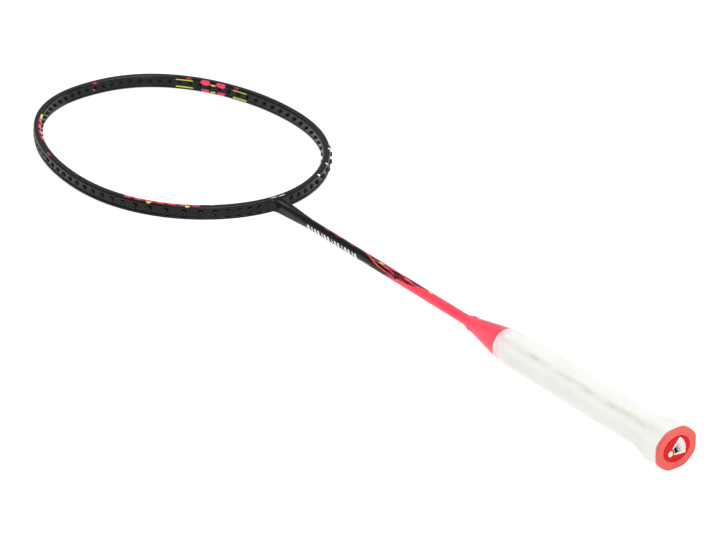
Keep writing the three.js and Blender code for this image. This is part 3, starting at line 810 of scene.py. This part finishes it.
def line_mark(start, end, width):
    """A line on the shaft between two (y, turn) places."""
    run = np.subtract(end, start)
    away = np.stack([shaft_y - start[0], shaft_turn - start[1]], -1)
    share = np.clip(away @ run / (run @ run), 0, 1)
    return np.linalg.norm(away - share[:, None] * run, axis=1) - width / 2


CORAL_EDGE = 272  # y of the middle of the coral's slanted edge
EDGE_SLANT = 9
EDGE_HIGH_SIDE = 6  # the turn where the coral reaches furthest
EDGE_SHARE = 0.3  # turns a distance along the shaft into one across the slanted edge
coral_edge = CORAL_EDGE + EDGE_SLANT * np.cos((shaft_turn - EDGE_HIGH_SIDE) / SHAFT_RADIUS)
coral_layer = [
    (shaft_y - coral_edge) * EDGE_SHARE,
    tongue(297, 266, 4.4, 8.4, 0.0),
    line_mark((323, -1.6), (302, 3.4), 0.9),
    line_mark((302, 3.4), (283, 4.8), 0.7),
    line_mark((309, 0.6), (280, 2.4), 0.6),
    line_mark((288, -1.4), (262, 1.6), 0.8),
    line_mark((281, 2.2), (262, 3.4), 1.1),
    line_mark((296, 1.2), (276, -2.2), 0.8),
]
wine_layer = [
    *[bar_mark(shaft_y, shaft_turn, at, at + 6, -1.3, 0.5, lean=1.5) for at in (331, 348, 361)],
    line_mark((301, 1.0), (290, -1.6), 0.9),
    line_mark((292, 4.2), (276, 1.4), 0.8),
    tongue(262, 278, 2.4, 4.2, 0.0),
]
charcoal_layer = [
    tongue(247, 262, -2.4, 1.0, 0.0),
    tongue(272, 262, -2.4, 1.4, 0.0),
    tongue(256, 284, 0.6, 3.6, 0.03),
]
lime_layer = [
    bar_mark(shaft_y, shaft_turn, 298, 303, -0.3, 0.8, lean=1.5),
    bar_mark(shaft_y, shaft_turn, 245, 249.5, -1.0, 0.2, lean=-2.0),
    bar_mark(shaft_y, shaft_turn, 310, 320, 6.6, 7.2, lean=4.0),
]
DASH_PITCH = 3.9
dash_places = (*np.arange(325, 337, DASH_PITCH), *np.arange(341, 386, DASH_PITCH))
dash_widths = (2.4, 1.4, 2.4, 2.4, 1.2, 2.4, 2.0, 1.2, 2.4, 2.4, 1.2, 2.4, 2.0, 1.6) * 2
white_layer = [
    bar_mark(shaft_y, shaft_turn, at, at + width, 4.5, 7.4, lean=-0.5)
    for at, width in zip(dash_places, dash_widths)]
for layer, marks in (("coral_print", coral_layer), ("charcoal_print", charcoal_layer),
                     ("wine_print", wine_layer), ("lime_print", lime_layer), ("white_print", white_layer)):
    keep_marks(shaft, layer, marks)

# %% [markdown]
# The coral is a fluorescent lacquer, so it looks brighter and purer than other paint in the same
# light. A strong, nearly pure colour with little shine over it does that here. The marks lie over the
# same charcoal as the frame's, one colour over the other, as they are printed.

# %% The shaft's finish
CORAL = "fe475c"
shaft_lacquer, shader = new_finish(
    "charcoal_to_coral_lacquer", specular_ior_level=0.12, coat_weight=0.3, coat_roughness=0.05)
colour = charcoal_base(shaft_lacquer, shader)
for layer, shade in (("coral_print", CORAL), ("charcoal_print", "161715"), ("wine_print", "9c2440"),
                     ("lime_print", LIME), ("white_print", CHALK)):
    colour = print_over(shaft_lacquer, colour, layer, shade)
feed(shaft_lacquer, shader, base_color=colour)
hand_over(shaft, shaft_lacquer, "shaft_lacquer", "shaft")

# %% [markdown]
# ## The cone
# A moulded cone covers the joint between the shaft and the handle. Its flank swells like a trumpet
# and a small collar ends it. It is turned, with a row of darker dashes printed along its top.

# %% The cone's shell
GRIP_LENGTH = 161.0
CONE_BASE_Y = 157.3
CONE_FLANK_Y = 167.1  # the flank starts here, past the grip and its tape
CONE_LENGTH = 60.0
CONE_SEAT_RADIUS = 10.2
CONE_TIP_RADIUS = 4.15
CONE_SWELL = 1.75
CONE_CURVE = 1.25
CONE_WALL = 1.3
CONE_EDGE = 0.15
CONE_SIDES = 64
COLLAR_REACH = 7  # the flank stops this far below the tip, where the collar starts


def cone_radius(y):
    """The cone's outside radius on its flank."""
    rise = CONE_SEAT_RADIUS + CONE_SWELL - CONE_TIP_RADIUS
    way_down = (CONE_TIP_Y - y) / CONE_LENGTH
    return CONE_TIP_RADIUS + rise * math.sin(math.pi / 2 * way_down) ** CONE_CURVE


cone_bore = SHAFT_RADIUS + GAP
seat = [(CONE_SEAT_RADIUS, CONE_BASE_Y), (CONE_SEAT_RADIUS, CONE_FLANK_Y),
        (cone_radius(CONE_FLANK_Y) - CONE_EDGE, CONE_FLANK_Y)]
flank = [(cone_radius(y), y) for y in np.arange(CONE_FLANK_Y + CONE_EDGE, CONE_TIP_Y - COLLAR_REACH, 0.7)]
COLLAR = ((5.15, 6.6), (5.3, 6.2), (5.3, 4.4), (5.15, 3.9), (4.7, 3.6), (4.4, 2.8), (4.2, 1.4),
          (4.12, 0.3), (4.0, 0))  # radius, and distance from the tip
collar = [(r, CONE_TIP_Y - below) for r, below in COLLAR]
inside = [(max(cone_bore, cone_radius(y) - CONE_WALL), y) for y in (196, 190, 184, 178, 172, CONE_FLANK_Y)]
cone_profile = [
    *seat, *flank, *collar, (cone_bore, CONE_TIP_Y), *inside, (CONE_SEAT_RADIUS - CONE_WALL, CONE_BASE_Y)]
cone = turned("moulded_cone", [(r, r, y) for r, y in cone_profile], CONE_SIDES)
points = corners_mm(cone)
cone_turn = np.arctan2(-points[:, 0], points[:, 2]) * np.hypot(points[:, 0], points[:, 2])
cone_dashes = ((173, 2.8), (176.8, 1.6), (179.4, 2.8), (183.2, 2.2), (186.4, 1.4), (188.8, 2.4), (192.2, 1.4))
keep_marks(cone, "wine_print", [
    bar_mark(points[:, 1], cone_turn, at, at + width, -1.0, 1.6, lean=0.3) for at, width in cone_dashes])

# %% [markdown]
# Moulded plastic in the same fluorescent coral, satin rather than glossy, with the faint waviness of
# a moulded skin.

# %% The cone's finish
def moulded_coral(name, hex_colour, roughness):
    """A satin coral plastic: slightly uneven in colour, with a fine moulded skin."""
    material, shader = new_finish(name, roughness=roughness, ior=1.49, specular_ior_level=0.4)
    place = add_node(material, "TexCoord")
    skin = add_node(material, "TexNoise", {
        "Vector": place.outputs["Object"], "Scale": 1 / (0.6 * MM), "Detail": 2.0})
    blush = add_node(material, "TexNoise", {
        "Vector": place.outputs["Object"], "Scale": 1 / (14 * MM), "Detail": 1.0})
    brightness = add_node(material, "MapRange", {
        "Value": blush.outputs["Fac"], "To Min": 0.93, "To Max": 1.07})
    tone = add_node(material, "HueSaturation", {
        "Color": linear(hex_colour), "Value": brightness.outputs["Result"]})
    relief = add_node(material, "Bump", {
        "Height": skin.outputs["Fac"], "Strength": 0.15, "Distance": 0.04 * MM})
    feed(material, shader, normal=relief.outputs["Normal"])
    return material, shader, tone.outputs["Color"]


cone_plastic, shader, colour = moulded_coral("moulded_coral_plastic", CORAL, 0.38)
feed(cone_plastic, shader, base_color=print_over(cone_plastic, colour, "wine_print", "c8324a"))
hand_over(cone, cone_plastic, "cone_plastic", "cone_cap")

# %% [markdown]
# ## The grip
# A cushioned polyurethane strip, about 25 mm wide, is wound round the octagonal handle from the butt
# up, each turn over the edge of the last. The turns show as faint slanting seams, and the octagon's
# corners are softened by the padding. A sleeve is turned first, then its points are pushed to the
# octagon and lifted a little where one turn overlaps the next.

# %% The grip's outline
GRIP_START = 2.0
GRIP_HALF_WIDTH = 12.4
GRIP_END_DROP = 0.9
GRIP_END_TAPER = 11.0
FLARE_RISE = 4.1
FLARE_TOP = 7.0
FLARE_LENGTH = 23.0
FLARE_FACE_SHARE = 0.35


def grip_half_width(y):
    """Half the width over the wound grip: flared at the butt, straight, then tapered onto the cone."""
    aside = min(1, (y - FLARE_TOP) / FLARE_LENGTH)
    if y < FLARE_TOP:
        aside = FLARE_FACE_SHARE * (FLARE_TOP - y) / FLARE_TOP
    taper = max(0, (y - GRIP_LENGTH + GRIP_END_TAPER) / GRIP_END_TAPER)
    return (GRIP_HALF_WIDTH + FLARE_RISE * math.cos(math.pi / 2 * aside) ** 2
            - GRIP_END_DROP * (1 - math.cos(math.pi / 2 * taper)))


FLATS = ((0, 0.887), (41, 0.968), (90, 1.0), (139, 0.968), (180, 0.887))  # degrees from +Z, and distance
CORNER_SHARPNESS = 14  # the higher, the crisper the octagon's corners


def to_octagon(points, roundness):
    """Moves points of a round body to the handle's octagon; roundness 1 leaves them on the circle."""
    turn = np.abs(np.arctan2(points[:, 0], points[:, 2]))
    pull = sum(np.maximum(0, np.cos(turn - math.radians(at)) / d) ** CORNER_SHARPNESS for at, d in FLATS)
    scale = pull ** (-1 / CORNER_SHARPNESS)
    scale = scale + (1 - scale) * roundness
    points[:, 0] *= scale
    points[:, 2] *= scale
    return points


print("half width over the flare:", round(grip_half_width(FLARE_TOP), 2))

# %% The wound sleeve
WIND_PITCH = 19.0
SEAM_LIFT = 0.09
SEAM_WIDTH = 1.1  # over which the strip's edge falls to the turn below
SEAM_ROOM = 0.1  # the skin lies this far inside the handle's outline, so that the seams can rise
SKIN_DEPTH = 0.5  # points deeper in the padding than this belong to the inside
RISE_START = 0.55  # share of a turn after which the strip climbs on the turn below
END_FADE = 6  # the seams fade over this length at both ends
GRIP_BORE = 10.9
GRIP_BORE_START = 24.0
GRIP_BORE_END = 146.0
FLARE_BORE = 13.0
LAST_TURN_WALL = 0.7
GRIP_RINGS = 74
GRIP_SIDES = 48
outside = [(grip_half_width(y), y) for y in np.linspace(GRIP_START, GRIP_LENGTH, GRIP_RINGS)]
inside = [(grip_half_width(GRIP_LENGTH) - LAST_TURN_WALL, GRIP_LENGTH), (GRIP_BORE, GRIP_BORE_END),
          (GRIP_BORE, GRIP_BORE_START), (FLARE_BORE, GRIP_START)]
grip = turned("wound_grip", [(r, r, y) for r, y in outside + inside], GRIP_SIDES)
fine = grip.modifiers.new("fine", "SUBSURF")
fine.subdivision_type = "SIMPLE"
fine.levels = fine.render_levels = 2
bpy.ops.object.modifier_apply(modifier=fine.name)
points = corners_mm(grip)
radius = np.hypot(points[:, 0], points[:, 2])
skin_radius = np.array([grip_half_width(y) for y in np.clip(points[:, 1], GRIP_START, GRIP_LENGTH)])
on_skin = skin_radius - radius < SKIN_DEPTH
turns = points[:, 1] / WIND_PITCH - np.arctan2(points[:, 0], points[:, 2]) / (2 * math.pi)
share = turns - np.floor(turns)
step = np.where(share * WIND_PITCH < SEAM_WIDTH, 1 - share * WIND_PITCH / SEAM_WIDTH, 0)
rise = np.clip((share - RISE_START) / (1 - RISE_START), 0, 1) ** 2
lift = SEAM_LIFT * np.maximum(step ** 1.5, rise) * on_skin
from_end = np.minimum(points[:, 1] - GRIP_START, GRIP_LENGTH - points[:, 1])
fade = np.clip(from_end / END_FADE, 0, 1)
stretch = 1 + (lift * fade - SEAM_ROOM) / radius
points[:, 0] *= stretch
points[:, 2] *= stretch
end_share = np.clip((points[:, 1] - GRIP_LENGTH + GRIP_END_TAPER) / GRIP_END_TAPER, 0, 1)
move_corners(grip, to_octagon(points, end_share * end_share * (3 - 2 * end_share)))
print("turns on the handle:", round(GRIP_LENGTH / WIND_PITCH, 1))

# %% [markdown]
# ## Off-white polyurethane
# The strip's skin is a soft polyurethane film that has a tacky, slightly cloudy look with a fine
# grain. Light goes a little way into it. Painted shade lies in faint grey mottled patches along the
# octagon's upper edge, and the seams carry a touch of painted shade where one turn steps onto the next.

# %% The grip's finish
SHADE_BAND_TURN = 40  # degrees from the top, towards -X, where painted shade lies along the octagon's upper edge
SHADE_BAND_SPREAD = 11
grip_turn = np.degrees(np.arctan2(-points[:, 0], points[:, 2]))
from_shade_band = (grip_turn - SHADE_BAND_TURN) / SHADE_BAND_SPREAD
# The second layer holds painted shade: a band along the octagon's upper edge.
for name, amount in (("seam", np.clip(step * on_skin * fade, 0, 1)), ("painted_edge_shade", np.exp(-from_shade_band ** 2))):
    attribute = grip.data.attributes.new(name, "FLOAT", "POINT")
    attribute.data.foreach_set("value", amount.astype(np.float32))
grip_film, shader = new_finish(
    "wound_polyurethane_film", roughness=0.62, ior=1.45, specular_ior_level=0.3, subsurface_weight=0.15,
    subsurface_scale=1.5 * MM, sheen_weight=0.15, sheen_roughness=0.5)
place = add_node(grip_film, "TexCoord")
along_grip = add_node(grip_film, "Mapping", {"Vector": place.outputs["Object"], "Scale": (1, 0.45, 1)})
tone_and_shade_noise = add_node(grip_film, "TexNoise", {
    "Vector": along_grip.outputs["Vector"], "Scale": 1 / (9 * MM), "Detail": 4.0, "Roughness": 0.6})
handled = add_node(grip_film, "ValToRGB", {"Fac": tone_and_shade_noise.outputs["Fac"]})
handled.color_ramp.elements[0].position = 0.28
handled.color_ramp.elements[0].color = linear("e2e2dc")
handled.color_ramp.elements[1].position = 0.5
handled.color_ramp.elements[1].color = linear("e8e8e3")
# Painted shade: the seams are darkened towards c9c9c0 where one turn steps onto the next.
seam = add_node(grip_film, "Attribute", attribute_name="seam")
seam_shade_share = add_node(grip_film, "Math", {0: seam.outputs["Fac"], 1: 0.12}, operation="MULTIPLY")
painted_seam_shade = add_node(grip_film, "Mix", {
    0: seam_shade_share.outputs["Value"], 6: handled.outputs["Color"], 7: linear("c9c9c0")}, data_type="RGBA")
pores = add_node(grip_film, "TexVoronoi", {"Vector": place.outputs["Object"], "Scale": 1 / (1.1 * MM)})
pore_relief = add_node(grip_film, "Bump", {
    "Height": pores.outputs["Distance"], "Strength": 0.25, "Distance": 0.08 * MM})
# Painted shade: a grey band along the octagon's upper edge, broken into mottled patches, mixes towards
# cfccb8.
painted_edge_shade = add_node(grip_film, "Attribute", attribute_name="painted_edge_shade")
patches = add_node(grip_film, "MapRange", {
    "Value": tone_and_shade_noise.outputs["Fac"], "From Min": 0.35, "From Max": 0.65})
edge_shade_share = add_node(
    grip_film, "Math", {0: painted_edge_shade.outputs["Fac"], 1: patches.outputs["Result"]}, operation="MULTIPLY")
skin_with_painted_shade = add_node(grip_film, "Mix", {
    0: edge_shade_share.outputs["Value"], 6: painted_seam_shade.outputs[2], 7: linear("cfccb8")}, data_type="RGBA")
feed(grip_film, shader, base_color=skin_with_painted_shade.outputs[2], normal=pore_relief.outputs["Normal"])
hand_over(grip, grip_film, "grip_polyurethane", "grip_wrap", angle=60)

# %% [markdown]
# ## The finishing tape
# A thin pale pink tape holds the strip's end on the cone. It is a narrow turned band, a little
# wavy because it is stretched by hand.

# %% The tape
TAPE_START = GRIP_LENGTH + GAP
TAPE_END = TAPE_START + 5.5
TAPE_RINGS = 9
TAPE_SIDES = 72
TAPE_EDGE = CONE_SEAT_RADIUS + 0.5
TAPE_MIDDLE = CONE_SEAT_RADIUS + 0.7
TAPE_RIPPLE = 0.006  # share of the radius
tape_rows = np.linspace(TAPE_START, TAPE_END, TAPE_RINGS)
outside = [(TAPE_EDGE if y in (TAPE_START, TAPE_END) else TAPE_MIDDLE, y) for y in tape_rows]
inside = [(CONE_SEAT_RADIUS + GAP, y) for y in (TAPE_END, TAPE_START)]
tape = turned("end_tape", [(r, r, y) for r, y in outside + inside], TAPE_SIDES)
points = corners_mm(tape)
turn = np.arctan2(points[:, 0], points[:, 2])
ripple = 1 + TAPE_RIPPLE * np.sin(3 * turn + points[:, 1]) * np.sin(7 * turn)
points[:, 0] *= ripple
points[:, 2] *= ripple
move_corners(tape, points)
tape_film, shader = new_finish("stretched_tape_film", roughness=0.32, ior=1.5, specular_ior_level=0.3)
place = add_node(tape_film, "TexCoord")
along_tape = add_node(tape_film, "Mapping", {"Vector": place.outputs["Object"], "Scale": (1, 4, 1)})
streaks = add_node(tape_film, "TexNoise", {
    "Vector": along_tape.outputs["Vector"], "Scale": 1 / (6 * MM), "Detail": 2.0})
film = add_node(tape_film, "ValToRGB", {"Fac": streaks.outputs["Fac"]})
film.color_ramp.elements[0].position = 0.35
film.color_ramp.elements[0].color = linear("f3c3c9")
film.color_ramp.elements[1].position = 0.6
film.color_ramp.elements[1].color = linear("f9e6e6")
feed(tape_film, shader, base_color=film.outputs["Color"])
hand_over(tape, tape_film, "tape_film", "grip_tape")

# %% [markdown]
# ## The butt cap
# The cap closes the handle: a moulded cup whose plate shows below the grip. Its edge is rounded, a
# low rim runs round its face, and an oval hollow takes the badge. It is turned, pushed to the same
# octagon as the grip, and the hollow is cut from it.

# %% The cap
CAP_FACE = grip_half_width(0)
PLATE_TOP = GRIP_START - GAP
CAP_RIM = ((2.0, 0.3), (1.75, 0.22), (1.55, 0.05), (1.35, 0.0), (0.55, 0.0), (0.2, 0.1), (0.05, 0.3),
           (0.0, 0.6), (-0.1, PLATE_TOP))  # distance inwards from the edge, and depth from the face
SKIRT_INSET = 1.9  # the grip's thickness over the cap's skirt, and the gap
SKIRT_TOP = 21.9
CAP_BORE = 10.3
CAP_FLOOR = 3.0
HOLLOW_DEPTH = 1.5
BADGE_WIDE = 10.25
BADGE_HIGH = 8.5
CAP_SIDES = 96

skirt = [(grip_half_width(y) - SKIRT_INSET, y) for y in (PLATE_TOP, 7, 14, SKIRT_TOP)]
rim = [(CAP_FACE - inset, y) for inset, y in CAP_RIM]
cap_profile = [*rim, *skirt, (CAP_BORE, SKIRT_TOP), (CAP_BORE, CAP_FLOOR)]
cap = turned("butt_cap_moulding", [(r, r, y) for r, y in cap_profile], CAP_SIDES, closed=False)
move_corners(cap, to_octagon(corners_mm(cap), 0.0))
hollow_ends = [(BADGE_WIDE + GAP, BADGE_HIGH + GAP, y) for y in (-1, HOLLOW_DEPTH)]
hollow = turned("hollow", hollow_ends, 64, closed=False)
combine(cap, hollow, "DIFFERENCE")
cap_plastic, shader, colour = moulded_coral("satin_coral_plastic", "e85a52", 0.42)
feed(cap_plastic, shader, base_color=colour)
hand_over(cap, cap_plastic, "cap_plastic", "butt_cap")

# %% [markdown]
# ## The badge
# An oval badge is pressed into the cap: glossy red with a fine raised border. Its maker's sign is
# left out, and a small shuttlecock of this lesson's own drawing stands there instead, a cork with
# five feathers, raised by a fifth of a millimetre and foiled in silver white.

# %% The badge's disc
FIELD_DEPTH = 0.16
BADGE_RIM = ((1.5, FIELD_DEPTH), (1.0, 0.14), (0.8, 0.0), (0.3, 0.0), (0.0, 0.25), (0.0, 1.2))
badge_profile = [(BADGE_WIDE - inset, BADGE_HIGH - inset, y) for inset, y in BADGE_RIM]
badge = turned("oval_badge", badge_profile, CAP_SIDES, closed=False)
enamel, shader = new_finish("glossy_red_enamel", roughness=0.2, ior=1.5, specular_ior_level=0.12)
place = add_node(enamel, "TexCoord")
depth = add_node(enamel, "TexNoise", {
    "Vector": place.outputs["Object"], "Scale": 1 / (5 * MM), "Detail": 2.0})
red = add_node(enamel, "ValToRGB", {"Fac": depth.outputs["Fac"]})
red.color_ramp.elements[0].color = linear("cc0506")
red.color_ramp.elements[1].color = linear("e40c0a")
feed(enamel, shader, base_color=red.outputs["Color"])
print("badge:", len(badge.data.polygons), "faces")

# %% The shuttlecock
SIGN_TURN = math.radians(68)  # the shuttlecock's slant on the badge
SIGN_SCALE = 1.35
SIGN_MIDDLE = 3.9  # from the cork, up the feathers
RAISED = 0.36  # thickness of the raised sign
CORK_SCALE = 1.5
FEATHER_WIDTH = 1.0
FEATHER_LENGTH = 6.6
FEATHER_SPREAD = 1.9  # how many times wider its outer end is
FEATHER_MIDDLE = 5.6  # from the cork
FEATHER_EDGE = 0.1


def feather(slant):
    """One feather: a flat bar that widens towards its end, with softened edges."""
    take()
    bpy.ops.mesh.primitive_cube_add(
        size=MM, location=(0, 0, 0), scale=(FEATHER_WIDTH, RAISED, FEATHER_LENGTH))
    piece = bpy.context.object
    bpy.ops.object.transform_apply(location=True, rotation=True, scale=True)
    for vertex in piece.data.vertices:
        vertex.select = vertex.co.z > 0
    bpy.ops.object.mode_set(mode="EDIT")
    bpy.ops.mesh.select_mode(type="VERT")
    bpy.ops.transform.resize(value=(FEATHER_SPREAD, 1, 1), center_override=(0, 0, FEATHER_LENGTH / 2 * MM))
    bpy.ops.mesh.select_all(action="SELECT")
    bpy.ops.mesh.bevel(offset=FEATHER_EDGE * MM, segments=2)
    bpy.ops.object.mode_set(mode="OBJECT")
    piece.data.transform(Matrix.Rotation(slant, 4, "Y") @ Matrix.Translation((0, 0, FEATHER_MIDDLE * MM)))
    return piece


feathers = [feather(math.radians(a)) for a in (-28, -14, 0, 14, 28)]
cork = turned("cork", [(0.9, 0.9, -RAISED / 2), (1.15, 1.0, RAISED / 2)], 32, closed=False)
cork.data.transform(Matrix.Diagonal((CORK_SCALE, 1, CORK_SCALE, 1)))
sign = join([cork, *feathers], "sign")
sign.data.transform(
    Matrix.Translation((0, FIELD_DEPTH * MM, 0)) @ Matrix.Rotation(SIGN_TURN, 4, "Y")
    @ Matrix.Diagonal((SIGN_SCALE, 1, SIGN_SCALE, 1)) @ Matrix.Translation((0, 0, -SIGN_MIDDLE * MM)))
foil, shader = new_finish("silver_white_foil", roughness=0.35, metallic=0.2)
place = add_node(foil, "TexCoord")
brushed = add_node(foil, "TexNoise", {
    "Vector": place.outputs["Object"], "Scale": 1 / (0.8 * MM), "Detail": 2.0})
silver = add_node(foil, "ValToRGB", {"Fac": brushed.outputs["Fac"]})
silver.color_ramp.elements[0].color = linear("d2cfcc")
silver.color_ramp.elements[1].color = linear("f3f0ec")
feed(foil, shader, base_color=silver.outputs["Color"])
badge.data.materials.append(enamel)
sign.data.materials.append(foil)
badge = join([badge, sign], "oval_badge")
hand_over(badge, None, "badge_enamel", "butt_badge")

# %% [markdown]
# ## The hidden pieces
# The handle's wooden core and the insert in the throat are not seen, so their plain bodies stay. They
# still get true finishes: planed light wood with its grain along the handle, and bare carbon.

# %% Wood and bare carbon
wood, shader = new_finish("planed_light_wood", roughness=0.72, ior=1.5, specular_ior_level=0.3)
place = add_node(wood, "TexCoord")
grain_place = add_node(wood, "Mapping", {"Vector": place.outputs["Object"], "Scale": (1, 0.06, 1)})
grain = add_node(wood, "TexNoise", {
    "Vector": grain_place.outputs["Vector"], "Scale": 1 / (1.6 * MM), "Detail": 4.0})
rings = add_node(wood, "ValToRGB", {"Fac": grain.outputs["Fac"]})
rings.color_ramp.elements[0].color = linear("b88a52")
rings.color_ramp.elements[1].color = linear("d9b783")
fibre = add_node(wood, "Bump", {"Height": grain.outputs["Fac"], "Strength": 0.3, "Distance": 0.1 * MM})
feed(wood, shader, base_color=rings.outputs["Color"], normal=fibre.outputs["Normal"])

carbon, shader = new_finish("bare_carbon_composite", roughness=0.4, specular_ior_level=0.5)
place = add_node(carbon, "TexCoord")
weave = add_node(carbon, "TexChecker", {
    "Vector": place.outputs["Object"], "Scale": 1 / (2 * MM), "Color1": linear("1a1a1b"),
    "Color2": linear("2b2b2d")})
feed(carbon, shader, base_color=weave.outputs["Color"])
for node, material in (("handle_core", wood), ("throat_insert", carbon)):
    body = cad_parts[node]
    body.data.materials.clear()
    body.data.materials.append(material)
print("CAD bodies kept: handle_core, throat_insert")
